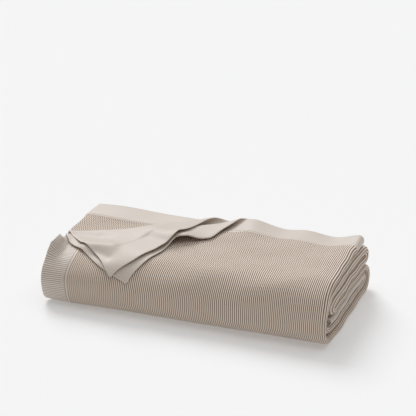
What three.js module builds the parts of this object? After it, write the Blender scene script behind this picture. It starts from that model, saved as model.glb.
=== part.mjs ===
import * as THREE from 'three';

// A knit throw, folded in four across its width and then along its length into seven runs that lie
// on each other. The two upper layers of the back left corner are turned over towards the front.
// Millimetres: x along the bundle, y from its front to its back, z up from the floor.

const throwWidth = 1780;
const layersAcross = 4;
const outerLevel = (layersAcross - 1) / 2; // of the top and the bottom layer of a run, in pitches
const bundleLength = throwWidth / layersAcross;
const clothThickness = 1.8;
const runGap = 0.8; // between two runs, one on the other
const hemY = 197; // the strip's first hem, at the top of the back
const innerHemLeft = 40; // where its last hem lies inside the stack, at the left and at the right end
const innerHemRight = 45;
const levelFrontY = 50; // where the front and back columns of the levels are read
const levelBackY = 190;
const lowerFoldInset = 15; // of the left fold of the two lower layers, from the free side hems
const lowerFoldFront = 4; // its inset where the top run comes to the front
const lowerFoldShare = 0.6; // of sightS, where the fold has come out to it
const topSkew = 2.5; // how far the top run's right fold slants in towards the back
const heightBlend = 1.5; // how late along x the left end's section gives way to the right end's

// Heights of the floor, of the six grooves between the runs and of the top.
const levels = [
  { name: 'floor', leftFront: 0, leftBack: 0, rightFront: 0, rightBack: 0 },
  { name: 'first groove', leftFront: 9.8, leftBack: 10.6, rightFront: 9.6, rightBack: 10.4 },
  { name: 'second groove', leftFront: 20.5, leftBack: 22.5, rightFront: 21.5, rightBack: 24 },
  { name: 'third groove', leftFront: 31.5, leftBack: 34.5, rightFront: 34.5, rightBack: 37 },
  { name: 'fourth groove', leftFront: 43, leftBack: 46.5, rightFront: 47, rightBack: 47.5 },
  { name: 'fifth groove', leftFront: 54, leftBack: 59, rightFront: 64.5, rightBack: 62 },
  { name: 'sixth groove', leftFront: 65, leftBack: 71, rightFront: 81, rightBack: 79 },
  { name: 'top', leftFront: 76, leftBack: 83, rightFront: 97.5, rightBack: 95 },
];

// The runs in the strip's own order. place counts them from the floor up, and left and right are the
// insets of the run's two ends. Each run but the last ends in a turn: turnLeft and turnRight say where
// it starts, reachLeft and reachRight how far its inner side goes on from there, and bulge how much
// looser the cloth lies at its nose. Where a turn hangs down to the front, nose says how high its
// foremost point is, and foot how far its inner side reaches below that. steps is how finely a turn is
// built.
const runs = [
  {
    place: 6, turnLeft: 62, turnRight: 50, reachLeft: 53, reachRight: 39, bulge: 0, left: 0, right: 1,
    noseLeft: 37, noseRight: 29, footLeft: 11, footRight: 20,
  },
  {
    place: 0, turnLeft: 190, turnRight: 193, reachLeft: 13, reachRight: 16, bulge: 0, left: 9, right: 0,
    steps: 6,
  },
  {
    place: 3, turnLeft: 62, turnRight: 62, reachLeft: 1, reachRight: 1, bulge: 0, left: 13, right: 2,
    steps: 5,
  },
  {
    place: 4, turnLeft: 189, turnRight: 196, reachLeft: 1, reachRight: 1, bulge: 2, left: 13, right: 1,
    steps: 5,
  },
  {
    place: 5, turnLeft: 64, turnRight: 62, reachLeft: 40, reachRight: 35, bulge: 0, left: 13, right: 2,
    noseLeft: 33, noseRight: 34, footLeft: 12, footRight: 14, steps: 7,
  },
  {
    place: 1, turnLeft: 188, turnRight: 191, reachLeft: 1, reachRight: 1, bulge: 0, left: 12, right: 3,
    steps: 5,
  },
  { place: 2, left: 14, right: 2 },
];
const runRows = 3; // of each run between its turns

const lateInset = 5; // how late the first turn's left hem draws in
const hemBulge = 4; // how far that hem swings out where it starts to turn

// The two turned layers. level is the layer's place in its run, in pitches from the middle. The fold
// line goes from foldX on the back hem to foldS on the left hem, bowed to the front by bow, and the
// corner of the cloth comes to lie at tipX, tipS. The layer bends with radius bend, stays high for
// shelf, and sinks over settle to land above the run: each has its value at the left hem and at the
// back hem. leftSwing and backSwing are how far the two hems swing out, from the corner, at 0, to the
// fold line, at 1.
const flaps = {
  first: {
    level: 1.5, foldX: 264, foldS: 124, bow: 14, tipX: 131, tipS: 200, land: 3.4,
    bendLeft: 3, bendBack: 3.6, shelfLeft: 0, shelfBack: 2, settleLeft: 20, settleBack: 36,
    leftSwing: [
      { at: 0, value: 0 },
      { at: 0.38, value: 11 },
      { at: 0.6, value: 9 },
      { at: 0.8, value: 10 },
      { at: 1, value: 0 },
    ],
    backSwing: [
      { at: 0, value: 0 },
      { at: 0.3, value: -8 },
      { at: 0.5, value: -15 },
      { at: 0.64, value: 8 },
      { at: 0.8, value: 4 },
      { at: 1, value: 0 },
    ],
  },
  second: {
    level: 0.5, foldX: 240, foldS: 118, bow: 20, tipX: 106, tipS: 195, land: 8,
    bendLeft: 5.5, bendBack: 7, shelfLeft: 0, shelfBack: 20, settleLeft: 26, settleBack: 50,
    leftSwing: [
      { at: 0, value: 0 },
      { at: 0.35, value: -2 },
      { at: 0.6, value: 4 },
      { at: 0.8, value: 4 },
      { at: 1, value: 0 },
    ],
    backSwing: [
      { at: 0, value: 0 },
      { at: 0.3, value: 13 },
      { at: 0.5, value: 10 },
      { at: 0.75, value: 2 },
      { at: 1, value: 0 },
    ],
  },
};
const swingDepth = 3; // how soon a hem's swing dies out inwards

// How the top run's first layer rises along the back hem, and over which length it levels out.
const hemWaves = [
  { at: 0, value: 3 },
  { at: 85, value: 5 },
  { at: 140, value: 1 },
  { at: 190, value: -4 },
  { at: 220, value: -4 },
  { at: 243, value: 0 },
  { at: 266, value: 5 },
  { at: 292, value: 0 },
  { at: 312, value: -4 },
  { at: 350, value: -2 },
  { at: 398, value: -6 },
  { at: 436, value: 2 },
  { at: 460, value: 0 },
];
const hemWaveLength = 55;

// Ridges across the top run, and those that only the turned layers have, each from one place to
// another.
const waves = [
  { name: 'left hem', fromX: -5, fromS: 160, toX: 5, toS: 154, width: 20, lift: 4 },
];
const flapWaves = [
  { name: 'hump', fromX: 187, fromS: 97, toX: 132, toS: 84, width: 24, lift: 5 },
  { name: 'crest', fromX: 50, fromS: 145, toX: 92, toS: 146, width: 9, lift: 2.5 },
];
const bendRows = 6;
const flapRows = 12;
const foldColumns = 8; // of the turned layers, between the left hem and the end of the fold line
const sideColumns = 7; // from there to the right fold
const keptColumns = [0, 3, 6, 8, 11, 13, 15]; // of every layer in the coarse rows
const openRows = [0, 0.2, 0.4, 0.6, 0.8, 1]; // between the fold lines and sightS
const sightS = 134; // along the strip, where the slanted rows have become straight ones
const frontSteps = 24;
const frontRows = [3, 6, 9, 12, 15, 18, 21, 24]; // the rows of the first turn, in its steps

const lerp = THREE.MathUtils.lerp;
const clamp = THREE.MathUtils.clamp;

function blendAt(x) {
  return clamp(x / bundleLength, 0, 1) ** heightBlend;
}

function levelAt(k, y, w) {
  const front = lerp(levels[k].leftFront, levels[k].rightFront, w);
  const back = lerp(levels[k].leftBack, levels[k].rightBack, w);
  return lerp(front, back, clamp((y - levelFrontY) / (levelBackY - levelFrontY), 0, 1));
}

function turnY(i, w) {
  return lerp(runs[i].turnLeft, runs[i].turnRight, w);
}

function reachAt(i, w) {
  return lerp(runs[i].reachLeft, runs[i].reachRight, w);
}

function hangs(i) {
  return runs[i].footLeft !== undefined;
}

function footAt(i, w) {
  return lerp(runs[i].footLeft, runs[i].footRight, w);
}

// Where the turn at the end of run i comes to its own end.
function turnEndY(i, w) {
  return turnY(i, w) - (hangs(i) ? reachAt(i, w) - footAt(i, w) : 0);
}

// Runs with an even number go to the front, the others to the back.
function upSign(i) {
  return i % 2 === 0 ? 1 : -1;
}

function pitchOf(height) {
  return (height - runGap - clothThickness) / (layersAcross - 1);
}

// The middle of run i at y: its place, the direction of its first layer and the layers' pitch.
function straight(i, y, w) {
  const low = levelAt(runs[i].place, y, w);
  const high = levelAt(runs[i].place + 1, y, w);
  return { y, z: (low + high) / 2, ny: 0, nz: upSign(i), pitch: pitchOf(high - low) };
}

// The same in the turn at the end of run i, at a share from its start to its end.
function turning(i, share, w) {
  const y = turnY(i, w);
  const upper = Math.max(runs[i].place, runs[i + 1].place);
  const lower = Math.min(runs[i].place, runs[i + 1].place);
  const side = upSign(i) > 0 ? -1 : 1;
  const falls = runs[i].place > runs[i + 1].place;
  const angle = (falls ? 0.5 - share : share - 0.5) * Math.PI;
  const top = levelAt(upper, y, w);
  const bottom = levelAt(lower + 1, y, w);
  const foot = hangs(i) && angle < 0;
  const nose = hangs(i) ? lerp(runs[i].noseLeft, runs[i].noseRight, w) : (top + bottom) / 2;
  const reach = foot ? footAt(i, w) : reachAt(i, w);
  const rise = angle < 0 ? nose - bottom : top - nose;
  const size = Math.hypot(reach * Math.cos(angle), rise * Math.sin(angle)) + 1e-9;
  const thick = lerp(
    levelAt(lower + 1, y, w) - levelAt(lower, y, w),
    levelAt(upper + 1, y, w) - levelAt(upper, y, w),
    (1 + Math.sin(angle)) / 2,
  ) + runs[i].bulge * Math.cos(angle) ** 2;
  const ny = side * Math.cos(angle);
  const nz = Math.sin(angle);
  const out = upSign(falls ? i : i + 1);
  return {
    y: (foot ? turnEndY(i, w) : y) + (side * reach ** 2 * Math.cos(angle)) / size + (ny * thick) / 2,
    z: nose + (rise ** 2 * Math.sin(angle)) / size + (nz * thick) / 2,
    ny: ny * out,
    nz: nz * out,
    pitch: pitchOf(thick),
  };
}

// The top run and its turn down the front, measured along the outer face of the first layer.
function frontPath(x) {
  const w = blendAt(x);
  const stations = [straight(0, hemY, w)];
  for (let k = 0; k <= frontSteps; k += 1) {
    stations.push(turning(0, k / frontSteps, w));
  }
  let length = 0;
  let before = null;
  return stations.map((at) => {
    const out = outerLevel * at.pitch + clothThickness / 2;
    const here = { y: at.y + at.ny * out, z: at.z + at.nz * out };
    if (before) {
      length += Math.hypot(here.y - before.y, here.z - before.z);
    }
    before = here;
    return { at, length };
  });
}

function alongFront(x, s) {
  const path = frontPath(x);
  let k = 1;
  while (k < path.length - 1 && path[k].length < s) {
    k += 1;
  }
  const a = path[k - 1];
  const b = path[k];
  const f = (s - a.length) / (b.length - a.length);
  const mixed = {};
  for (const key of ['y', 'z', 'ny', 'nz', 'pitch']) {
    mixed[key] = lerp(a.at[key], b.at[key], f);
  }
  const size = Math.hypot(mixed.ny, mixed.nz);
  mixed.ny /= size;
  mixed.nz /= size;
  mixed.s = s;
  return mixed;
}

function smooth(t) {
  const c = clamp(t, 0, 1);
  return c * c * (3 - 2 * c);
}

// Reads a table smoothly between its rows.
function tableAt(table, at) {
  const k = clamp(table.findIndex((row) => row.at > at), 1, table.length - 1);
  const a = at < table.at(-1).at ? table[k - 1] : table.at(-2);
  const b = at < table.at(-1).at ? table[k] : table.at(-1);
  return lerp(a.value, b.value, smooth((at - a.at) / (b.at - a.at)));
}

// The height of a list of ridges at a place.
function ridgeLift(list, x, s) {
  let sum = 0;
  for (const { fromX, fromS, toX, toS, width, lift: height } of list) {
    const alongX = toX - fromX;
    const alongS = toS - fromS;
    const share = clamp(((x - fromX) * alongX + (s - fromS) * alongS) / (alongX ** 2 + alongS ** 2), 0, 1);
    const away = Math.hypot(x - fromX - share * alongX, s - fromS - share * alongS);
    sum += height * Math.exp(-((away / width) ** 2));
  }
  return sum;
}

// How much the first layer of the top run rises at a place.
function swell(x, s) {
  return tableAt(hemWaves, x) * Math.exp(-((s / hemWaveLength) ** 2)) + ridgeLift(waves, x, s);
}

// The rows of the strip. at gives the run's place at x. left and right are the insets of its ends, and
// lower that of the left fold of its two lower layers.
// open rows lie between the fold lines, at open 0, and sightS, at open 1. Rows from the bottom run on
// are coarse.
const rows = [];
for (const open of openRows) {
  rows.push({
    open,
    left: runs[0].left - hemBulge * open,
    right: runs[0].right,
    lower: lerp(lowerFoldInset, lowerFoldFront, Math.min(open / lowerFoldShare, 1)),
    at: (x, s) => alongFront(x, s ?? open * sightS),
  });
}
for (const step of frontRows) {
  const share = step / frontSteps;
  rows.push({
    left: lerp(runs[0].left, runs[1].left, share ** lateInset) - hemBulge * Math.max(1 - 2 * share, 0),
    right: lerp(runs[0].right, runs[1].right, share),
    lower: lerp(lowerFoldFront, lowerFoldInset, share),
    at: (x) => alongFront(x, frontPath(x)[step + 1].length),
  });
}
for (let i = 1; i < runs.length; i += 1) {
  const last = i === runs.length - 1;
  const run = runs[i];
  for (let k = 1; k <= runRows; k += 1) {
    rows.push({
      coarse: true,
      left: run.left,
      right: run.right,
      lower: lowerFoldInset,
      at: (x) => {
        const w = blendAt(x);
        const end = last ? lerp(innerHemLeft, innerHemRight, w) : turnY(i, w);
        return straight(i, lerp(turnEndY(i - 1, w), end, k / runRows), w);
      },
    });
  }
  for (let k = 1; !last && k <= run.steps; k += 1) {
    const share = k / run.steps;
    rows.push({
      coarse: true,
      left: lerp(run.left, runs[i + 1].left, share),
      right: lerp(run.right, runs[i + 1].right, share),
      lower: lowerFoldInset,
      at: (x) => turning(i, share, blendAt(x)),
    });
  }
}

function lift(x, at, off) {
  return new THREE.Vector3(x, at.y + at.ny * off, at.z + at.nz * off);
}

// A place on the layer of a level: the layers under the first one share its rise.
function onLayer(x, at, level) {
  const rise = at.s === undefined ? 0 : (swell(x, at.s) * (level + outerLevel)) / (layersAcross - 1);
  return lift(x, at, level * at.pitch + rise);
}

// A place on a fold line, at a share from the left hem to the back hem.
function foldLine(flap, share) {
  const bowed = flap.bow * 4 * share * (1 - share);
  return { x: flap.foldX * share, s: flap.foldS * (1 - share) + bowed };
}

// A point of a turned corner. across goes from the left hem to the back hem, share is 1 on the fold
// line and 0 at the corner of the cloth.
function flapPoint(flap, across, share) {
  const { foldX, foldS, tipX, tipS } = flap;
  const bend = lerp(flap.bendLeft, flap.bendBack, across);
  const size = Math.hypot(foldX, foldS);
  const depth = (foldX * foldS) / size;
  const along = (1 - share) * depth;
  const round = Math.min(along / bend, Math.PI);
  const past = Math.max(along - Math.PI * bend, 0);
  const reach = (past - bend * Math.sin(round)) / (depth - Math.PI * bend);
  // The foot of the point on the fold line, then out from it.
  const on = foldLine(flap, across);
  const cornerX = (depth * foldS) / size;
  const cornerS = (depth * foldX) / size;
  const left = tableAt(flap.leftSwing, share) * (1 - across) ** swingDepth / Math.hypot(tipX, tipS - foldS);
  const back = tableAt(flap.backSwing, share) * across ** swingDepth / Math.hypot(foldX - tipX, tipS);
  const x = lerp(cornerX, on.x, share) + reach * (tipX - cornerX) + back * tipS - left * (tipS - foldS);
  const s = lerp(cornerS, on.s, share) + reach * (tipS - cornerS) + back * (foldX - tipX) + left * tipX;
  const at = alongFront(x, s);
  const high = flap.level * at.pitch + bend * (1 - Math.cos(round));
  const low = outerLevel * at.pitch + flap.land;
  const shelf = lerp(flap.shelfLeft, flap.shelfBack, across);
  const landing = smooth((past - shelf) / lerp(flap.settleLeft, flap.settleBack, across));
  const ridges = (round / Math.PI) * ridgeLift(flapWaves, x, s);
  return lift(x, at, lerp(high, low, landing) + swell(x, s) + ridges);
}

function slantS(flap, x, open) {
  const start = x < flap.foldX ? foldLine(flap, x / flap.foldX).s : 0;
  return lerp(start, sightS, open);
}

// The cloth's way across a row, from one free side hem to the other: its layers, each at a level and
// with the end of its left side, and the folds between them.
const acrossRow = [
  { level: 1.5, flap: flaps.first },
  { foldSide: 1, level: 0, radius: -1.5, steps: 4 },
  { level: -1.5 },
  { foldSide: -1, level: -1, radius: 0.5, steps: 3 },
  { level: -0.5 },
  { foldSide: 1, level: 0, radius: 0.5, steps: 3 },
  { level: 0.5, flap: flaps.second },
];

// One layer from the left to the right, or the other way round. Columns are counted from the left.
function addLayer(across, row, order, rightX) {
  const { level, flap } = acrossRow[order];
  const rightwards = (order / 2) % 2 === 0;
  const leftX = flap ? row.left : row.lower;
  const lineX = flap ? flap.foldX : flaps.first.foldX;
  const last = foldColumns + sideColumns;
  for (let k = 0; k <= last; k += 1) {
    const column = rightwards ? k : last - k;
    if (row.coarse && !keptColumns.includes(column)) {
      continue;
    }
    const side = (column - foldColumns) / sideColumns;
    const x = column <= foldColumns
      ? lerp(leftX, lineX, column / foldColumns)
      : lerp(flaps.first.foldX, rightX, side);
    const at = row.at(x, flap && row.open !== undefined ? slantS(flap, x, row.open) : undefined);
    across.push({ t: order + k / last, column, point: onLayer(x, at, level) });
  }
}

// One fold between two layers, a half circle of a radius in pitches.
function addFold(across, row, order, rightX) {
  const { foldSide, level, radius, steps } = acrossRow[order];
  const startX = foldSide > 0 ? rightX : row.lower;
  for (let k = 1; k < steps; k += 1) {
    const angle = (k / steps - 0.5) * Math.PI;
    const x = startX + foldSide * row.at(startX).pitch * Math.abs(radius) * Math.cos(angle);
    const point = onLayer(x, row.at(x), level + radius * Math.sin(angle));
    across.push({ t: order + k / steps, point });
  }
}

function crossRow(row) {
  const skew = row.open === undefined ? 0 : topSkew * (1 - row.open);
  const outer = outerLevel * row.at(bundleLength).pitch + clothThickness / 2;
  const rightX = bundleLength - row.right - skew - outer;
  const across = [];
  acrossRow.forEach(({ foldSide }, order) => {
    const add = foldSide ? addFold : addLayer;
    add(across, row, order, rightX);
  });
  return across;
}

const points = [];
const faces = [];

function number(row) {
  for (const vertex of row) {
    vertex.index = points.length;
    points.push(vertex.point);
  }
  return row;
}

// Joins two neighbouring rows that may have different numbers of points.
function stitch(before, after) {
  let a = 0;
  let b = 0;
  while (a < before.length - 1 || b < after.length - 1) {
    const nextA = a < before.length - 1 ? before[a + 1].t : Infinity;
    const nextB = b < after.length - 1 ? after[b + 1].t : Infinity;
    if (nextA < nextB - 1e-6) {
      faces.push([before[a].index, before[a + 1].index, after[b].index]);
      a += 1;
    } else if (nextB < nextA - 1e-6) {
      faces.push([before[a].index, after[b + 1].index, after[b].index]);
      b += 1;
    } else {
      faces.push([before[a].index, before[a + 1].index, after[b].index]);
      faces.push([before[a + 1].index, after[b + 1].index, after[b].index]);
      a += 1;
      b += 1;
    }
  }
}

const grid = rows.map((row) => number(crossRow(row)));
for (let r = 1; r < grid.length; r += 1) {
  stitch(grid[r - 1], grid[r]);
}

// The turned corners, row by row from the fold line to the corner of the cloth.
function addCorner(flap, onHem) {
  const order = onHem[0].column > onHem.at(-1).column ? -1 : 1;
  const depth = (flap.foldX * flap.foldS) / Math.hypot(flap.foldX, flap.foldS);
  const bendShare = (Math.PI * Math.max(flap.bendLeft, flap.bendBack)) / depth;
  let after = onHem.map((vertex) => ({ ...vertex, t: order * vertex.column }));
  for (let k = 1; k <= bendRows + flapRows; k += 1) {
    const share = k <= bendRows
      ? 1 - (bendShare * k) / bendRows
      : (1 - bendShare) * (1 - (k - bendRows) / flapRows);
    const columns = k < bendRows + flapRows ? onHem.map(({ column }) => column) : [0];
    const before = number(columns.map((column) => ({
      column,
      t: order * column,
      point: flapPoint(flap, column / foldColumns, share),
    })));
    stitch(before, after);
    after = before;
  }
}

addCorner(flaps.first, grid[0].slice(0, foldColumns + 1));
addCorner(flaps.second, grid[0].slice(-(foldColumns + 1)));

// The cloth's thickness, half on either side of its middle surface, closed along the hems.
function thicken(thickness) {
  const normals = points.map(() => new THREE.Vector3());
  const edges = new Map();
  for (const [a, b, c] of faces) {
    const ab = points[b].clone().sub(points[a]);
    const ac = points[c].clone().sub(points[a]);
    const normal = ab.cross(ac);
    for (const k of [a, b, c]) {
      normals[k].add(normal);
    }
    for (const [from, to] of [[a, b], [b, c], [c, a]]) {
      edges.set(`${from},${to}`, [from, to]);
    }
  }
  const positions = [];
  for (const side of [1, -1]) {
    points.forEach((point, k) => {
      const out = normals[k].clone().setLength((side * thickness) / 2);
      positions.push(...point.clone().add(out).toArray());
    });
  }
  const under = points.length;
  const triangles = [];
  for (const [a, b, c] of faces) {
    triangles.push(a, b, c, under + c, under + b, under + a);
  }
  for (const [from, to] of edges.values()) {
    if (!edges.has(`${to},${from}`)) {
      triangles.push(from, under + from, to, to, under + from, under + to);
    }
  }
  const geometry = new THREE.BufferGeometry();
  geometry.setAttribute('position', new THREE.Float32BufferAttribute(positions, 3));
  geometry.setIndex(triangles);
  geometry.computeVertexNormals();
  return geometry;
}

const cloth = thicken(clothThickness);
cloth.computeBoundingBox();
const { min, max } = cloth.boundingBox;
cloth.translate(-(min.x + max.x) / 2, -(min.y + max.y) / 2, -min.z);

const knit = new THREE.MeshStandardMaterial({ color: 0xc4b5a4, roughness: 0.95, metalness: 0 });
const throwMesh = new THREE.Mesh(cloth, knit);
throwMesh.name = 'throw';

const foldedThrow = new THREE.Group();
foldedThrow.add(throwMesh);

export default foldedThrow;
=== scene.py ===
import math
import bpy
import numpy as np
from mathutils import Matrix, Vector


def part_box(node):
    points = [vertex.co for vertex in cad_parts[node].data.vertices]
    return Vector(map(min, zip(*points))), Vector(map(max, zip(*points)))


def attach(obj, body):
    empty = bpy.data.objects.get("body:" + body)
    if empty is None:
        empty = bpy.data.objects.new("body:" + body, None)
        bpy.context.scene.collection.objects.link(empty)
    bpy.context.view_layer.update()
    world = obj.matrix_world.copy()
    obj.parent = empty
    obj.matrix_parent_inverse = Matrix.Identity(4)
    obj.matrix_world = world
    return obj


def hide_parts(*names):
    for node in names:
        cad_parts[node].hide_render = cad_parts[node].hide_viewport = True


# A folded knit throw. The cloth is one fine sheet on its solid's folds, with the knit's own flat
# measures as its UV map. Sizes of the cloth are in millimetres here, as they are in the solid.

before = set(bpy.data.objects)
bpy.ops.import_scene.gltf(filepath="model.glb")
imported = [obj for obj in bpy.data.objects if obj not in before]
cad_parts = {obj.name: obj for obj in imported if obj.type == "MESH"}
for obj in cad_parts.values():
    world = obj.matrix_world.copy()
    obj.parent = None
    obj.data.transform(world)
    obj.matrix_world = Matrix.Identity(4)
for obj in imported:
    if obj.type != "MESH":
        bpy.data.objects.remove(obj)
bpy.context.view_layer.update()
solidLow, solidHigh = (np.array(corner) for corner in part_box("throw"))
scene = bpy.context.scene

cameraPlace = {
    "azimuth": 19.8,
    "elevation": 26.7,
    "aim": (-0.0108, 0.0371, 0.1270),
    "distance": 6.0,
    "lens": 346.15,
    "sensor": 36.0,
}


def makeCamera():
    data = bpy.data.cameras.new("camera")
    camera = bpy.data.objects.new("camera", data)
    scene.collection.objects.link(camera)
    data.lens = cameraPlace["lens"]
    data.sensor_width = cameraPlace["sensor"]
    data.sensor_fit = "HORIZONTAL"
    data.clip_end = 50
    azimuth = math.radians(cameraPlace["azimuth"])
    elevation = math.radians(cameraPlace["elevation"])
    back = np.array([
        math.sin(azimuth) * math.cos(elevation),
        -math.cos(azimuth) * math.cos(elevation),
        math.sin(elevation),
    ])
    camera.location = np.array(cameraPlace["aim"]) + back * cameraPlace["distance"]
    camera.rotation_euler = (math.pi / 2 - elevation, 0, azimuth)
    scene.camera = camera


makeCamera()
print("camera placed")

# The fold. Most sizes are the solid's own. The inner hem, the tuck, two inner turns and the ridges
# differ a little from it, and the finer steps are this sheet's.
fold = {
    "width": 1780, "length": 1270, "layers": 4, "thickness": 1.8, "runGap": 0.8,
    "hemY": 197, "innerHem": (33, 38), "levelFrontY": 50, "levelBackY": 190,
    "lowerFoldInset": 15, "lowerFoldFront": 4, "lowerFoldShare": 0.6, "topSkew": 2.5,
    "heightBlend": 1.5, "sightS": 134, "lateInset": 5, "tuck": (11, 4, -2), "swingDepth": 3,
    "centre": (220.5, 108.7), "layerPitch": 3.6, "bundleInset": 9,
}
outerLevel = (fold["layers"] - 1) / 2
bundleLength = fold["width"] / fold["layers"]

# Heights of the floor, the six grooves and the top: left front, left back, right front, right back.
levels = np.array([
    (0, 0, 0, 0),
    (9.8, 10.6, 9.6, 10.4),
    (20.5, 22.5, 21.5, 24),
    (31.5, 34.5, 34.5, 37),
    (43, 46.5, 47, 47.5),
    (54, 59, 64.5, 62),
    (65, 71, 81, 79),
    (76, 83, 97.5, 95),
])


def run(place, turn, reach, left, right, rows, steps, bulge=0, nose=None, foot=None):
    return {
        "place": place, "turn": turn, "reach": reach, "bulge": bulge, "left": left, "right": right,
        "nose": nose, "foot": foot, "rows": rows, "steps": steps,
    }


# In strip order. turn, reach, nose and foot are pairs, at the left end and at the right end.
runs = [
    run(6, (62, 50), (53, 39), 0, 1, 0, 24, nose=(37, 29), foot=(11, 20)),
    run(0, (190, 193), (13, 16), 9, 0, 10, 14),
    run(3, (60, 57), (1, 1), 13, 2, 6, 14, bulge=7),
    run(4, (189, 196), (1, 1), 13, 1, 6, 14, bulge=2),
    run(5, (64, 62), (40, 38), 13, 2, 8, 16, nose=(33, 34), foot=(12, 17)),
    run(1, (188, 191), (1, 1), 12, 3, 6, 10),
    run(2, (0, 0), (0, 0), 14, 2, 7, 0),
]

# The turned layers. bend, shelf and settle are pairs, at the left hem and at the back hem, and the
# swings are places from the corner, 0, to the fold line, 1, with how far the hem swings out there.
firstFlap = {
    "level": 1.5, "foldX": 264, "foldS": 124, "bow": 14, "tipX": 131, "tipS": 200, "land": 3.4,
    "bend": (3, 3.6), "shelf": (0, 2), "settle": (20, 36),
    "leftSwing": [(0, 0), (0.38, 11), (0.6, 9), (0.8, 10), (1, 0)],
    "backSwing": [(0, 0), (0.3, -8), (0.5, -15), (0.64, 8), (0.8, 4), (1, 0)],
}
secondFlap = {
    "level": 0.5, "foldX": 240, "foldS": 118, "bow": 20, "tipX": 106, "tipS": 195, "land": 8,
    "bend": (5.5, 7), "shelf": (0, 20), "settle": (26, 50),
    "leftSwing": [(0, 0), (0.35, -2), (0.6, 4), (0.8, 4), (1, 0)],
    "backSwing": [(0, 0), (0.3, 13), (0.5, 10), (0.75, 2), (1, 0)],
}

# How the top run's first layer rises along the back hem: x and height.
hemWaves = [
    (0, 3), (85, 5), (140, 1), (190, -4), (220, -4), (243, 0), (266, 6.5), (292, 0.5), (312, -4),
    (350, -2), (398, -6), (436, 2), (460, 0),
]
hemWaveLength = 55

# Ridges and hollows across the top run, and those of the turned layers alone: from x, s to x, s,
# with width and height.
ridges = {
    "leftArch": ((0, 141), (-4, 160), 12, 19),
    "leftFall": ((-5, 170), (-5, 190), 14, 4),
    "leftHollow": ((15, 140), (17, 158), 8, -5),
}
flapRidges = {
    "hump": ((187, 97), (132, 84), 20, 5),
    "trough": ((24, 120), (75, 118), 10, -2.5),
    "crest": ((50, 147), (92, 144), 9, 3.5),
    "hollow": ((71, 158), (91, 165), 8, -2.5),
    "valley": ((133, 104), (162, 110), 9, -2.5),
    "mouth": ((180, 88), (188, 84), 14, 6),
}

columns = {"fold": 40, "side": 26, "coarse": 20, "outerFold": 10, "innerFold": 6}
flapRows = {"open": 34, "bend": 12, "flat": 44}
hemBand = {"side": 38, "back": 37}


def lerp(a, b, t):
    return a + (b - a) * t


def smooth(t):
    c = np.clip(t, 0, 1)
    return c * c * (3 - 2 * c)


def blendAt(x):
    return np.clip(x / bundleLength, 0, 1) ** fold["heightBlend"]


def levelAt(k, y, w):
    front = lerp(levels[k, 0], levels[k, 2], w)
    back = lerp(levels[k, 1], levels[k, 3], w)
    share = (y - fold["levelFrontY"]) / (fold["levelBackY"] - fold["levelFrontY"])
    return lerp(front, back, np.clip(share, 0, 1))


def turnY(i, w):
    return lerp(*runs[i]["turn"], w)


def turnEndY(i, w):
    now = runs[i]
    moved = lerp(*now["reach"], w) - lerp(*now["foot"], w) if now["foot"] else 0
    return turnY(i, w) - moved


def upSign(i):
    return 1 if i % 2 == 0 else -1


def pitchOf(height):
    return (height - fold["runGap"] - fold["thickness"]) / (fold["layers"] - 1)


# A station is y, z, ny, nz and pitch, each an array over x.
def straight(i, y, w):
    low = levelAt(runs[i]["place"], y, w)
    high = levelAt(runs[i]["place"] + 1, y, w)
    zero = np.zeros_like(w)
    return np.stack([y + zero, (low + high) / 2, zero, zero + upSign(i), pitchOf(high - low)])


def turning(i, share, w):
    y = turnY(i, w)
    upper = max(runs[i]["place"], runs[i + 1]["place"])
    lower = min(runs[i]["place"], runs[i + 1]["place"])
    side = -1 if upSign(i) > 0 else 1
    falls = runs[i]["place"] > runs[i + 1]["place"]
    angle = (0.5 - share if falls else share - 0.5) * math.pi
    top = levelAt(upper, y, w)
    bottom = levelAt(lower + 1, y, w)
    foot = runs[i]["foot"] and angle < 0
    nose = lerp(*runs[i]["nose"], w) if runs[i]["nose"] else (top + bottom) / 2
    reach = lerp(*(runs[i]["foot"] if foot else runs[i]["reach"]), w)
    rise = nose - bottom if angle < 0 else top - nose
    size = np.hypot(reach * math.cos(angle), rise * math.sin(angle)) + 1e-9
    thick = lerp(
        levelAt(lower + 1, y, w) - levelAt(lower, y, w),
        levelAt(upper + 1, y, w) - levelAt(upper, y, w),
        (1 + math.sin(angle)) / 2,
    ) + runs[i]["bulge"] * math.cos(angle) ** 4
    ny = side * math.cos(angle)
    nz = math.sin(angle)
    out = upSign(i if falls else i + 1)
    centre = turnEndY(i, w) if foot else y
    zero = np.zeros_like(w)
    return np.stack([
        centre + side * reach**2 * math.cos(angle) / size + ny * thick / 2,
        nose + rise**2 * math.sin(angle) / size + nz * thick / 2,
        zero + ny * out,
        zero + nz * out,
        pitchOf(thick),
    ])


# The top run and the front turn as a table over x and the length s along the first layer.
pathSteps = 48
tableX = np.arange(-40.0, 490.0, 2.0)
tableS = np.arange(0.0, 440.0, 1.0)


def frontTable():
    w = blendAt(tableX)
    stations = [straight(0, fold["hemY"], w)]
    stations += [turning(0, k / pathSteps, w) for k in range(pathSteps + 1)]
    stations = np.array(stations)
    out = outerLevel * stations[:, 4] + fold["thickness"] / 2
    y = stations[:, 0] + stations[:, 2] * out
    z = stations[:, 1] + stations[:, 3] * out
    lengths = np.cumsum(np.hypot(np.diff(y, axis=0), np.diff(z, axis=0)), axis=0)
    lengths = np.vstack([np.zeros_like(w), lengths])
    table = np.zeros((len(tableX), len(tableS), 5))
    for k in range(len(tableX)):
        for c in range(5):
            table[k, :, c] = np.interp(tableS, lengths[:, k], stations[:, c, k])
    return table, lengths.T


frontStations, frontLengths = frontTable()


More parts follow.
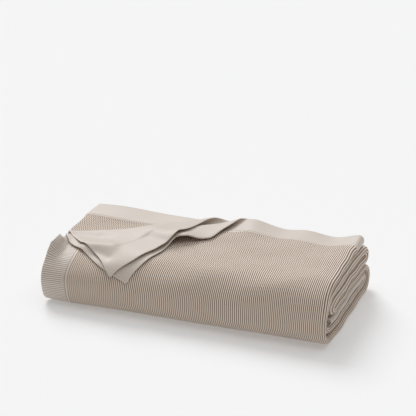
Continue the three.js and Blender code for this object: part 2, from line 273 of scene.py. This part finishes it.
def fromTable(table, row, column):
    i = np.clip(row.astype(int), 0, table.shape[0] - 2)
    j = np.clip(column.astype(int), 0, table.shape[1] - 2)
    a = np.clip(row - i, 0, 1)
    b = np.clip(column - j, 0, 1)
    if table.ndim == 3:
        a = a[:, None]
        b = b[:, None]
    low = lerp(table[i, j], table[i, j + 1], b)
    high = lerp(table[i + 1, j], table[i + 1, j + 1], b)
    return lerp(low, high, a)


def alongFront(x, s):
    row = (x - tableX[0]) / (tableX[1] - tableX[0])
    at = fromTable(frontStations, row, s).T.copy()
    at[0] -= np.minimum(s, 0)
    at[2:4] /= np.hypot(at[2], at[3])
    return at


def frontLength(x, step):
    row = (x - tableX[0]) / (tableX[1] - tableX[0])
    return fromTable(frontLengths, row, np.full_like(x, step * pathSteps + 1))


# Reads a table of places and values as a smooth curve.
def tableAt(table, at):
    places, values = np.array(table, dtype=float).T
    slopes = np.gradient(values, places)
    k = np.clip(np.searchsorted(places, at, side="right"), 1, len(places) - 1)
    width = places[k] - places[k - 1]
    share = np.clip((at - places[k - 1]) / width, 0, 1)
    rest = 1 - share
    curve = lerp(values[k - 1], values[k], smooth(share))
    return curve + width * share * rest * (rest * slopes[k - 1] - share * slopes[k])


def ridgeLift(some, x, s):
    total = 0 * x
    for (fromX, fromS), (toX, toS), width, height in some.values():
        alongX = toX - fromX
        alongS = toS - fromS
        along = ((x - fromX) * alongX + (s - fromS) * alongS) / (alongX**2 + alongS**2)
        along = np.clip(along, 0, 1)
        away = np.hypot(x - fromX - along * alongX, s - fromS - along * alongS)
        total = total + height * np.exp(-((away / width) ** 2))
    return total


def swell(x, s):
    return tableAt(hemWaves, x) * np.exp(-((s / hemWaveLength) ** 2)) + ridgeLift(ridges, x, s)


def lifted(x, at, off):
    return np.stack([x, at[0] + at[2] * off, at[1] + at[3] * off], axis=1)


def onLayer(x, at, s, level):
    rise = 0 if s is None else swell(x, s) * (level + outerLevel) / (fold["layers"] - 1)
    return lifted(x, at, level * at[4] + rise)


# The fold line's place on the cloth, from the left hem, drawn in by the tuck, to the back hem.
def foldLine(flap, across):
    x = lerp(fold["tuck"][0], flap["foldX"], across)
    return x, lineS(flap, x)


def lineS(flap, x):
    share = np.clip(x / flap["foldX"], 0, 1)
    return flap["foldS"] * (1 - share) + flap["bow"] * 4 * share * (1 - share)


# One row of a turned corner. across is an array, 0 on the left hem and 1 on the back hem. share is 1
# on the fold line and 0 at the corner of the cloth.
def flapPoints(flap, across, share):
    size = math.hypot(flap["foldX"], flap["foldS"])
    depth = flap["foldX"] * flap["foldS"] / size
    along = (1 - share) * depth
    bend = lerp(*flap["bend"], across)
    angle = np.minimum(along / bend, math.pi)
    past = np.maximum(along - math.pi * bend, 0)
    reach = (past - bend * np.sin(angle)) / (depth - math.pi * bend)
    onX, onS = foldLine(flap, across)
    cornerX = depth * flap["foldS"] / size
    cornerS = depth * flap["foldX"] / size
    tipX, tipS = flap["tipX"], flap["tipS"]
    downLeft = tipS - flap["foldS"]
    downBack = flap["foldX"] - tipX
    left = tableAt(flap["leftSwing"], share) * (1 - across) ** fold["swingDepth"]
    back = tableAt(flap["backSwing"], share) * across ** fold["swingDepth"]
    left = left / math.hypot(tipX, downLeft)
    back = back / math.hypot(downBack, tipS)
    x = lerp(cornerX, onX, share) + reach * (tipX - cornerX) + back * tipS - left * downLeft
    s = lerp(cornerS, onS, share) + reach * (tipS - cornerS) + back * downBack + left * tipX
    at = alongFront(x, s)
    high = flap["level"] * at[4] + bend * (1 - np.cos(angle))
    low = outerLevel * at[4] + flap["land"]
    landing = smooth((past - lerp(*flap["shelf"], across)) / lerp(*flap["settle"], across))
    rise = swell(x, s) + angle / math.pi * ridgeLift(flapRidges, x, s)
    points = lifted(x, at, lerp(high, low, landing) + rise)
    return points, share * flap["foldX"] * across, share * onS


print("fold tables made")


# The rows of the strip, each with its insets, its stations and its place along the cloth.
def slantS(flap, x, opened):
    return lerp(lineS(flap, x), fold["sightS"], opened)


def openShares():
    even = np.linspace(0, 1, flapRows["open"])
    seam = (hemBand["back"] + np.array([-3, -1.5, -0.6, 0.6, 1.5, 3])) / fold["sightS"]
    return np.sort(np.concatenate([even, seam]))


def stripRows():
    rows = []
    inset, front = fold["lowerFoldInset"], fold["lowerFoldFront"]
    for opened in openShares():
        rows.append({
            "opened": opened,
            "left": lerp(fold["tuck"][0], fold["tuck"][1], opened),
            "right": runs[0]["right"],
            "lower": lerp(inset, front, min(opened / fold["lowerFoldShare"], 1)),
        })
    for step in range(1, runs[0]["steps"] + 1):
        share = step / runs[0]["steps"]
        left = lerp(fold["tuck"][1], fold["tuck"][2], smooth(5 * share))
        rows.append({
            "front": share,
            "left": lerp(left, runs[1]["left"], share ** fold["lateInset"]),
            "right": lerp(runs[0]["right"], runs[1]["right"], share),
            "lower": lerp(front, inset, share),
        })
    for i in range(1, len(runs)):
        now = runs[i]
        for k in range(1, now["rows"] + 1):
            rows.append({"run": i, "straight": k / now["rows"], **ends(now, now, 0)})
        for k in range(1, now["steps"] + 1):
            share = k / now["steps"]
            rows.append({"run": i, "turn": share, **ends(now, runs[i + 1], share)})
    return rows


def ends(now, after, share):
    insets = {side: lerp(now[side], after[side], share) for side in ("left", "right")}
    return {**insets, "lower": fold["lowerFoldInset"]}


# The stations of a row at x, and the lengths s at which its swell is read, if it has one.
def stationsOf(row, x, flap=None):
    if "opened" in row:
        s = row["opened"] * fold["sightS"] + 0 * x
        if flap:
            s = slantS(flap, x, row["opened"])
        return alongFront(x, s), s
    if "front" in row:
        s = frontLength(x, row["front"])
        return alongFront(x, s), s
    w = blendAt(x)
    i = row["run"]
    if "straight" in row:
        last = i == len(runs) - 1
        end = lerp(*fold["innerHem"], w) if last else turnY(i, w)
        return straight(i, lerp(turnEndY(i - 1, w), end, row["straight"]), w), None
    return turning(i, row["turn"], w), None


def layerColumns(leftX, lineX, rightX, foldShares, sideShares):
    near = lerp(leftX, lineX, foldShares)
    far = lerp(firstFlap["foldX"], rightX, sideShares)
    return np.concatenate([near, far])


def sharesWithSeam(count, places, width):
    even = np.linspace(0, 1, count + 1)
    return np.unique(np.round(np.concatenate([even, np.array(places) / width]), 5))


seamPlaces = hemBand["side"] + np.array([-3, -1.5, -0.6, 0.6, 1.5, 3])
firstShares = sharesWithSeam(columns["fold"], seamPlaces, firstFlap["foldX"])
secondShares = np.linspace(0, 1, columns["fold"] + 1)
coarseShares = np.linspace(0, 1, columns["coarse"] + 1)
sideShares = np.linspace(0, 1, columns["side"] + 1)[1:]
fewShares = np.linspace(0, 1, columns["coarse"] // 2 + 1)[1:]

# The cloth's way across a row, from one free side hem to the other.
acrossRow = [
    {"level": 1.5, "flap": firstFlap, "near": firstShares, "far": sideShares},
    {"foldSide": 1, "level": 0, "radius": -1.5, "steps": columns["outerFold"]},
    {"level": -1.5, "near": coarseShares, "far": fewShares, "back": True},
    {"foldSide": -1, "level": -1, "radius": 0.5, "steps": columns["innerFold"]},
    {"level": -0.5, "near": secondShares, "far": sideShares},
    {"foldSide": 1, "level": 0, "radius": 0.5, "steps": columns["innerFold"]},
    {"level": 0.5, "flap": secondFlap, "near": secondShares, "far": fewShares, "back": True},
]


# The points of one row and their places across the cloth, U, and along it, V.
def crossRow(row):
    skew = fold["topSkew"] * (1 - row["opened"]) if "opened" in row else 0
    at, _ = stationsOf(row, np.array([bundleLength]))
    outer = outerLevel * at[4][0] + fold["thickness"] / 2
    rightX = bundleLength - row["right"] - skew - outer
    places = []
    lengths = []
    for part in acrossRow:
        if "foldSide" in part:
            angle = (np.arange(1, part["steps"]) / part["steps"] - 0.5) * math.pi
            startX = rightX if part["foldSide"] > 0 else row["lower"]
            pitch = stationsOf(row, np.array([startX]))[0][4][0]
            x = startX + part["foldSide"] * pitch * abs(part["radius"]) * np.cos(angle)
            at, s = stationsOf(row, x)
            points = onLayer(x, at, s, part["level"] + part["radius"] * np.sin(angle))
        else:
            flap = part.get("flap")
            leftX = row["left"] if flap else row["lower"]
            lineX = (flap or firstFlap)["foldX"]
            x = layerColumns(leftX, lineX, rightX, part["near"], part["far"])
            if part.get("back"):
                x = x[::-1]
            at, s = stationsOf(row, x, flap)
            points = onLayer(x, at, s, part["level"])
        places.append(points)
        lengths.append(np.full(len(points), np.nan) if s is None else s)
    return np.concatenate(places), np.concatenate(lengths)


def makeGrid():
    rows = [crossRow(row) for row in stripRows()]
    points = np.array([row[0] for row in rows])
    along = np.array([row[1] for row in rows])
    for r in range(1, len(points)):
        if np.isnan(along[r, 0]):
            step = np.linalg.norm(points[r] - points[r - 1], axis=1)
            along[r] = along[r - 1] + np.mean(step)
    along[np.isnan(along)] = 0
    return points, along


gridPoints, gridAlong = makeGrid()
print("grid of the strip:", gridPoints.shape, "length along:", round(float(gridAlong.max()), 1))


# U, the place of each column across the cloth, from the left hem to the last side hem.
def acrossPlaces():
    places = []
    start = 0
    for part in acrossRow:
        if "foldSide" in part:
            around = math.pi * abs(part["radius"]) * fold["layerPitch"]
            places.append(start + around * np.arange(1, part["steps"]) / part["steps"])
            start += around
        else:
            line = (part.get("flap") or firstFlap)["foldX"]
            right = bundleLength - fold["bundleInset"]
            x = layerColumns(0, line, right, part["near"], part["far"])
            if part.get("back"):
                x = right - x[::-1]
            places.append(start + x)
            start += right
    places = np.concatenate(places)
    return places * fold["width"] / start


gridAcross = acrossPlaces()


# The middle surface of the cloth: points, their U and V, triangles, and which are the second corner.
class Cloth:
    def __init__(self):
        self.points = []
        self.marks = []
        self.faces = []
        self.turned = []

    def add(self, points, across, along):
        first = len(self.points)
        self.points.extend(points)
        self.marks.extend(zip(across, along))
        return np.arange(first, first + len(points))

    def join(self, before, after, turned=False):
        for k in range(len(before) - 1):
            corners = [after[k], after[k + 1], before[k + 1], before[k]]
            corners = [c for j, c in enumerate(corners) if c != corners[j - 1]]
            self.faces.append(corners)
            self.turned.append(turned)


def addCorner(cloth, flap, shares, onFold, sign, offset):
    depth = flap["foldX"] * flap["foldS"] / math.hypot(flap["foldX"], flap["foldS"])
    bendShare = math.pi * max(flap["bend"]) / depth
    bending = 1 - bendShare * np.arange(1, flapRows["bend"] + 1) / flapRows["bend"]
    resting = (1 - bendShare) * (1 - np.arange(1, flapRows["flat"] + 1) / flapRows["flat"])
    after = onFold
    for share in np.concatenate([bending, resting]):
        points, x, s = flapPoints(flap, shares, share)
        if share <= 1e-9:
            ids = np.full(len(shares), cloth.add(points[:1], [offset], [0])[0])
        else:
            ids = cloth.add(points, offset + sign * x, s)
        if sign > 0:
            cloth.join(ids, after)
        else:
            cloth.join(ids[::-1], after[::-1], True)
        after = ids


def makeCloth():
    cloth = Cloth()
    rows = [cloth.add(gridPoints[r], gridAcross, gridAlong[r]) for r in range(len(gridPoints))]
    for before, after in zip(rows, rows[1:]):
        cloth.join(before, after)
    addCorner(cloth, firstFlap, firstShares, rows[0][:len(firstShares)], 1, 0)
    onFold = rows[0][-len(secondShares):][::-1]
    addCorner(cloth, secondFlap, secondShares, onFold, -1, fold["width"])
    return cloth


cloth = makeCloth()
print("middle surface:", len(cloth.points), "points,", len(cloth.faces), "faces")


# A slow unevenness of the whole bundle, the same for layers that lie on each other.
unevenness = {"seed": 11, "size": 0.7, "waves": 14, "longest": 150, "shortest": 34}


def wobble(points):
    random = np.random.default_rng(unevenness["seed"])
    total = np.zeros_like(points)
    for _ in range(unevenness["waves"]):
        length = random.uniform(unevenness["shortest"], unevenness["longest"])
        heading = random.normal(size=3) * (1, 1, 0.5)
        heading *= 2 * math.pi / length / np.linalg.norm(heading)
        phase = random.uniform(0, 2 * math.pi)
        push = random.normal(size=3) * length / unevenness["longest"]
        total += np.sin(points @ heading + phase)[:, None] * push
    total *= unevenness["size"]
    total[:, 2] *= smooth(points[:, 2] / 25)
    return points + total


# Where the underside and the rim start in V on the cloth's map, in metres.
clothPlaces = {"under": 1.3, "underEdge": (1.288, 1.29), "rim": 2.7, "rimEdge": (2.6, 2.65)}
rim = {"steps": 3, "width": 0.0009}
face = {"bandDip": 0.3, "ridgeHeight": 0.7, "ridgeWidth": 1.1}


def seamShape(marks):
    across, along = marks.T
    side = np.minimum(across, fold["width"] - across) - hemBand["side"]
    back = np.minimum(along, fold["length"] - along) - hemBand["back"]
    away = np.minimum(side, back)
    dip = -face["bandDip"] * smooth(-away / 1.5)
    return dip + face["ridgeHeight"] * np.exp(-((away / face["ridgeWidth"]) ** 2))


def vertexNormals(points, faces):
    normals = np.zeros_like(points)
    for size in (3, 4):
        some = np.array([f for f in faces if len(f) == size]).reshape(-1, size)
        if size == 3:
            each = np.cross(points[some[:, 1]] - points[some[:, 0]],
                            points[some[:, 2]] - points[some[:, 0]])
        else:
            each = np.cross(points[some[:, 2]] - points[some[:, 0]],
                            points[some[:, 3]] - points[some[:, 1]])
        for k in range(size):
            np.add.at(normals, some[:, k], each)
    return normals / (np.linalg.norm(normals, axis=1)[:, None] + 1e-12)


def borderLoop(faces):
    following = {}
    for corners in faces:
        for a, b in zip(corners, corners[1:] + corners[:1]):
            following[(a, b)] = True
    nexts = {a: b for a, b in following if (b, a) not in following}
    start = next(iter(nexts))
    loop = [start]
    while nexts[loop[-1]] != start:
        loop.append(nexts[loop[-1]])
    if len(loop) != len(nexts):
        print("note: the border has", len(nexts), "edges, the loop", len(loop))
    return np.array(loop)


# Both faces of the cloth and its rounded rims, as one closed mesh.
def closeCloth():
    points = wobble(np.array(cloth.points))
    marks = np.array(cloth.marks)
    faces = [[int(c) for c in corners] for corners in cloth.faces]
    normals = vertexNormals(points, faces)
    half = fold["thickness"] / 2
    upper = points + normals * (half + np.clip(seamShape(marks), -half / 2, 1))[:, None]
    lower = points - normals * half
    count = len(points)
    vertices = [upper, lower]
    polygons = []
    maps = []
    flat = marks / 1000
    under = np.array([0, clothPlaces["under"]])
    for corners, turned in zip(faces, cloth.turned):
        polygons.append(corners)
        maps.append(flat[corners] + (under if turned else 0))
        polygons.append([c + count for c in corners[::-1]])
        maps.append(flat[corners[::-1]] + under)
    loop = borderLoop(faces)
    ahead = points[np.roll(loop, -1)] - points[np.roll(loop, 1)]
    outward = np.cross(ahead, normals[loop])
    outward /= np.linalg.norm(outward, axis=1)[:, None] + 1e-12
    length = np.concatenate([[0], np.cumsum(np.linalg.norm(np.diff(points[loop], axis=0), axis=1))])
    rings = [loop]
    ringStart = 2 * count
    for k in range(1, rim["steps"]):
        angle = math.pi * k / rim["steps"]
        middle = (upper[loop] + lower[loop]) / 2
        reach = (upper[loop] - lower[loop]) / 2
        vertices.append(middle + reach * math.cos(angle) + outward * half * math.sin(angle))
        rings.append(np.arange(ringStart, ringStart + len(loop)))
        ringStart += len(loop)
    rings.append(loop + count)
    for k in range(rim["steps"]):
        v = [clothPlaces["rim"] + (k + j) * rim["width"] for j in range(2)]
        for a in range(len(loop)):
            b = (a + 1) % len(loop)
            u = [length[a] / 1000, (length[b] if b else length[a] + 1) / 1000]
            polygons.append([int(rings[k][a]), int(rings[k + 1][a]),
                             int(rings[k + 1][b]), int(rings[k][b])])
            maps.append(np.array([(u[0], v[0]), (u[0], v[1]), (u[1], v[1]), (u[1], v[0])]))
    return np.concatenate(vertices), polygons, np.concatenate(maps)


vertices, polygons, clothMap = closeCloth()
low = vertices.min(axis=0)
high = vertices.max(axis=0)
print("cloth before placing:", np.round(low, 2), np.round(high, 2))
middle = (solidLow + solidHigh) / 2
vertices[:, :2] -= fold["centre"]
vertices[:, 2] -= low[2]
vertices /= 1000
vertices[:, :2] += middle[:2]
vertices[:, 2] += solidLow[2]


def makePiece(name, vertices, polygons, uvs):
    mesh = bpy.data.meshes.new(name)
    mesh.from_pydata(vertices.tolist(), [], polygons)
    layer = mesh.uv_layers.new(name="clothMap")
    layer.data.foreach_set("uv", uvs.astype(np.float32).ravel())
    mesh.polygons.foreach_set("use_smooth", [True] * len(mesh.polygons))
    mesh.validate()
    piece = bpy.data.objects.new(name, mesh)
    scene.collection.objects.link(piece)
    return piece


throw = makePiece("throwCloth", vertices, polygons, clothMap)
print("cloth mesh:", len(polygons), "polygons")


# Shader maths on sockets.
class Shade:
    def __init__(self, tree):
        self.tree = tree

    def node(self, kind, inputs=None, output=0, **settings):
        made = self.tree.nodes.new(kind)
        for key, value in settings.items():
            setattr(made, key, value)
        for key, value in (inputs or {}).items():
            self.feed(made.inputs[key], value)
        return Socket(self, made.outputs[output])

    def feed(self, target, value):
        if isinstance(value, Socket):
            self.tree.links.new(value.socket, target)
        else:
            target.default_value = value

    def math(self, operation, *values):
        return self.node("ShaderNodeMath", dict(enumerate(values)), operation=operation)

    def mix(self, factor, a, b, kind="RGBA"):
        first = {"FLOAT": 2, "RGBA": 6}[kind]
        output = {"FLOAT": 0, "RGBA": 2}[kind]
        inputs = {0: factor, first: a, first + 1: b}
        return self.node("ShaderNodeMix", inputs, output, data_type=kind)

    # A cosine that swings once from crest to trough over one pitch.
    def wave(self, value, pitch):
        return self.math("COSINE", value * (math.pi * 1000 / pitch))

    def step(self, value, start, end, low=0.0, high=1.0):
        inputs = {0: value, 1: start, 2: end, 3: low, 4: high}
        return self.node("ShaderNodeMapRange", inputs, interpolation_type="SMOOTHSTEP")


class Socket:
    def __init__(self, shade, socket):
        self.shade = shade
        self.socket = socket

    def __add__(self, other):
        return self.shade.math("ADD", self, other)

    def __radd__(self, other):
        return self.shade.math("ADD", other, self)

    def __sub__(self, other):
        return self.shade.math("SUBTRACT", self, other)

    def __rsub__(self, other):
        return self.shade.math("SUBTRACT", other, self)

    def __mul__(self, other):
        return self.shade.math("MULTIPLY", self, other)

    def __rmul__(self, other):
        return self.shade.math("MULTIPLY", other, self)


# The knit. Pitches are in millimetres and all other lengths in metres along the cloth.
# The knit's pale tone is a painted highlight on the stitch crests and its dark tone painted shade in
# the hollows between them; the yarn's own colour lies between the two.
knit = {
    "light": (0.95, 0.83, 0.71, 1), "paintedShade": (0.17, 0.105, 0.07, 1), "rim": (0.80, 0.73, 0.65, 1),
    "smoothLight": (0.84, 0.77, 0.70, 1), "smoothDark": (0.40, 0.33, 0.27, 1),
    "wide": 1.5, "tall": 3.0, "line": 1.6, "drift": 0.0012, "driftScale": 22.0,
    "broken": 0.6, "brokenFront": 0.15, "frontStart": 0.10, "frontEnd": 0.26,
    "rightFolds": (0.441, 1.335), "foldReach": 0.012, "foldFade": 0.035,
    "calm": 0.4, "calmStart": 0.05, "calmReach": 0.17,
    "topContrast": 1.5, "calmFront": 0.35, "frontFade": (0.13, 0.23),
    "lines": 0.5, "linesEnd": 0.03, "fluff": 0.4, "fluffScale": 900.0,
    "roughRange": 0.45, "smoothRange": 0.6, "bump": 0.5, "bumpDepth": 0.0006,
    "seamFade": 0.002, "grooveWidth": 0.0016, "ridgeWidth": 0.0012, "seamPaintedLight": 0.6,
    "roughness": 0.92, "smoothRoughness": 0.5, "sheen": 0.35, "specular": 0.4,
}


def knitMaterial():
    material = bpy.data.materials.new("knit")
    material.use_nodes = True
    tree = material.node_tree
    tree.nodes.clear()
    shade = Shade(tree)
    place = shade.node("ShaderNodeUVMap", uv_map="clothMap")
    u = shade.node("ShaderNodeSeparateXYZ", {0: place}, 0)
    v = shade.node("ShaderNodeSeparateXYZ", {0: place}, 1)
    drift = shade.node(
        "ShaderNodeTexNoise", {"Vector": place, "Scale": knit["driftScale"], "Detail": 2.0})
    u = u + (drift - 0.5) * knit["drift"]

    # Ribs, broken into single stitches on the top and whole on the front and round the right folds.
    firstFold, secondFold = (shade.math("ABSOLUTE", u - at) for at in knit["rightFolds"])
    nearest = shade.math("MINIMUM", firstFold, secondFold)
    offFold = shade.step(nearest, knit["foldReach"], knit["foldFade"])
    onTop = shade.step(v, knit["frontEnd"], knit["frontStart"])
    broken = onTop * offFold * (knit["broken"] - knit["brokenFront"]) + knit["brokenFront"]
    ribs = shade.wave(u, knit["wide"])
    stitches = ribs * (1.0 - broken + broken * shade.wave(v, knit["tall"]))

    # The field between the hem bands, and the line beside each band, painted as shade in its groove
    # and as a highlight along its raised row.
    back = shade.step(v, *clothPlaces["underEdge"])
    side = shade.math("MINIMUM", u, fold["width"] / 1000 - u)
    hem = shade.math("MINIMUM", v, fold["length"] / 1000 - v)
    away = shade.math(
        "MINIMUM", side - hemBand["side"] / 1000, hem - hemBand["back"] / 1000)
    field = shade.step(away, 0.0, knit["seamFade"]) * (1.0 - back)
    offGroove = shade.math("ABSOLUTE", away + knit["seamFade"])
    grooveShade = shade.step(offGroove, knit["grooveWidth"], 0.0) * (1.0 - back)
    ridgeHighlight = shade.step(shade.math("ABSOLUTE", away), knit["ridgeWidth"], 0.0) * (1.0 - back)

    # Height of the surface: calmer stitches near the side hems and down the front, lines across the
    # side bands, and fluff on the smooth side.
    full = shade.step(side, knit["calmStart"], knit["calmReach"], knit["calm"], 1.0)
    full = full * shade.step(v, *knit["frontFade"], knit["topContrast"], knit["calmFront"])
    striped = shade.step(side, hemBand["side"] / 1000, knit["linesEnd"]) * (1.0 - back)
    fluff = shade.node(
        "ShaderNodeTexNoise", {"Vector": place, "Scale": knit["fluffScale"], "Detail": 1.0})
    lines = shade.wave(v, knit["line"]) * striped * knit["lines"]
    plainHeight = lines + (fluff - 0.5) * knit["fluff"]
    height = shade.mix(field, plainHeight, stitches * full, "FLOAT")

    roughRange, smoothRange = knit["roughRange"], knit["smoothRange"]
    # Colour follows the height: the stitch hollows take the dark tone as painted shade and the
    # crests the pale tone as painted highlight.
    rough = shade.mix(shade.step(height, -roughRange, roughRange), knit["paintedShade"], knit["light"])
    # On the smooth side the two tones are painted shade in the hollows of the band lines and painted
    # highlight on their crests, and across the fluff they are the yarn's uneven tone.
    plain = shade.mix(
        shade.step(height, -smoothRange, smoothRange), knit["smoothDark"], knit["smoothLight"])
    colour = shade.mix(field, plain, rough)
    # Painted shade darkens the seam's groove and a painted highlight lightens its raised row.
    colour = shade.mix(grooveShade * knit["seamPaintedLight"], colour, knit["paintedShade"])
    colour = shade.mix(ridgeHighlight * knit["seamPaintedLight"], colour, knit["light"])
    # The rims take one pale tone all round: the yarn's colour, kept pale as a painted highlight
    # along the cloth's edges.
    colour = shade.mix(shade.step(v, *clothPlaces["rimEdge"]), colour, knit["rim"])
    bump = shade.node("ShaderNodeBump", {
        "Strength": knit["bump"], "Distance": knit["bumpDepth"], "Height": height})
    surface = shade.node("ShaderNodeBsdfPrincipled", {
        "Base Color": colour, "Normal": bump,
        "Sheen Weight": knit["sheen"], "Specular IOR Level": knit["specular"],
        "Roughness": shade.mix(field, knit["smoothRoughness"], knit["roughness"], "FLOAT")})
    tree.links.new(surface.socket, tree.nodes.new("ShaderNodeOutputMaterial").inputs[0])
    return material


throw.data.materials.append(knitMaterial())
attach(throw, "root")
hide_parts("throw")
print("knit made")

# Floor and light.
stage = {
    "size": 14, "tone": (0.67, 0.67, 0.67, 1), "glow": 0.23,
    "world": (1.0, 0.93, 0.86, 1), "strength": 0.3,
    "suns": [
        {"name": "key", "azimuth": -140, "elevation": 42, "strength": 1.9, "spread": 30,
         "tone": (0.98, 1.0, 1.03)},
        {"name": "top", "azimuth": -175, "elevation": 80, "strength": 1.05, "spread": 70,
         "tone": (0.96, 1.0, 1.05)},
    ],
}


def plainMaterial(name, tone, roughness, glow):
    material = bpy.data.materials.new(name)
    material.use_nodes = True
    surface = material.node_tree.nodes["Principled BSDF"]
    surface.inputs["Base Color"].default_value = tone
    surface.inputs["Roughness"].default_value = roughness
    surface.inputs["Specular IOR Level"].default_value = 0.1
    surface.inputs["Emission Color"].default_value = (1, 1, 1, 1)
    surface.inputs["Emission Strength"].default_value = glow
    return material


def makeFloor():
    half = stage["size"] / 2
    mesh = bpy.data.meshes.new("floor")
    corners = [(-half, -half, 0), (half, -half, 0), (half, half, 0), (-half, half, 0)]
    mesh.from_pydata(corners, [], [(0, 1, 2, 3)])
    floor = bpy.data.objects.new("floor", mesh)
    scene.collection.objects.link(floor)
    floor.data.materials.append(plainMaterial("floor", stage["tone"], 0.9, stage["glow"]))
    return floor


def makeSun(name, azimuth, elevation, strength, spread, tone):
    data = bpy.data.lights.new(name, "SUN")
    data.energy = strength
    data.angle = math.radians(spread)
    data.color = tone
    light = bpy.data.objects.new(name, data)
    light.rotation_euler = (math.radians(90 - elevation), 0, math.radians(azimuth))
    scene.collection.objects.link(light)
    return light


scene.view_settings.view_transform = "Standard"
makeFloor()
for sun in stage["suns"]:
    makeSun(**sun)
world = bpy.data.worlds.new("studio")
world.use_nodes = True
world.node_tree.nodes["Background"].inputs[0].default_value = stage["world"]
world.node_tree.nodes["Background"].inputs[1].default_value = stage["strength"]
scene.world = world
print("floor and light made")
